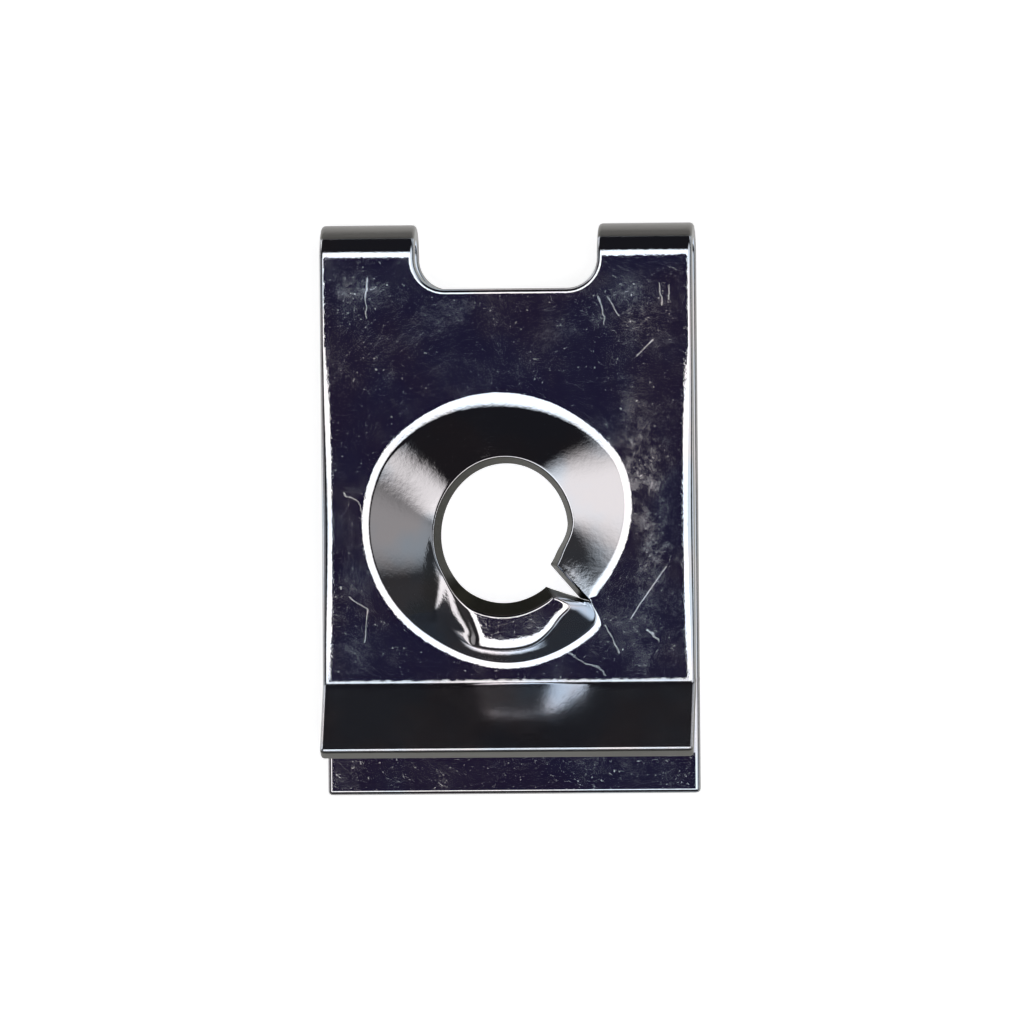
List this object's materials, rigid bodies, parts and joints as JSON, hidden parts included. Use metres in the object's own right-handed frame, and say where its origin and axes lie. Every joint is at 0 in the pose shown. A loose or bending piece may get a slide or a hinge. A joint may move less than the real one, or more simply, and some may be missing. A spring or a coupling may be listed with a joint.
{
  "type": "u clip speed nut",
  "caption": "Folded sheet steel clip nut that slides over a panel edge, with a wide screw hole in the rear leg and a helical thread form with a slit in the front leg.",
  "frame": {"origin": "screw axis, in the outer face of the rear leg", "axes": "+Z along the screw axis, from the rear leg to the thread form; +Y towards the fold; X across the strip"},
  "size_m": [0.011, 0.0168, 0.0038],
  "materials": {
    "zinc_steel": "bright zinc plated spring steel, lightly scratched"
  },
  "bodies": {
    "root": {"u_clip": "zinc_steel"}
  },
  "joints": []
}
